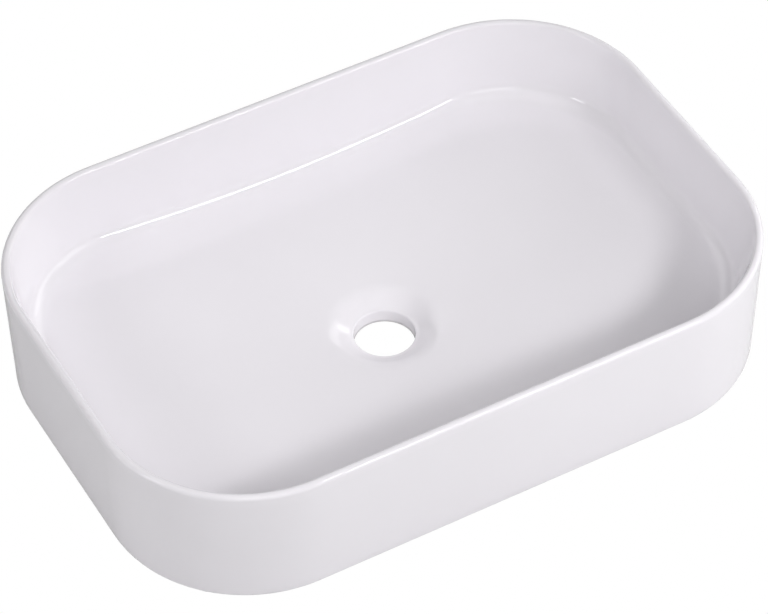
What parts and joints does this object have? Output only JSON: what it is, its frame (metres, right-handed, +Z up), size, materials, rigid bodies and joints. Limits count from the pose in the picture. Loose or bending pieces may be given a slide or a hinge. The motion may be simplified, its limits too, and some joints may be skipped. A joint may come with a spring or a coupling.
{
  "type": "countertop basin",
  "caption": "Rounded rectangular countertop wash basin in glazed ceramic, with thin upright walls, a floor falling to a soft dish and an open drain hole in the middle.",
  "frame": {"origin": "middle of the footprint, on the worktop that the pads stand on", "axes": "+X along the long side, -Y towards the user, +Z up; the drain hole's axis is Z"},
  "size_m": [0.5098, 0.3518, 0.105],
  "materials": {
    "glazed_ceramic": "gloss white glaze",
    "pad_rubber": "matte"
  },
  "bodies": {
    "root": {"basin_body": "glazed_ceramic", "foot_pad_front_left": "pad_rubber", "foot_pad_front_right": "pad_rubber", "foot_pad_back_left": "pad_rubber", "foot_pad_back_right": "pad_rubber"}
  },
  "joints": []
}
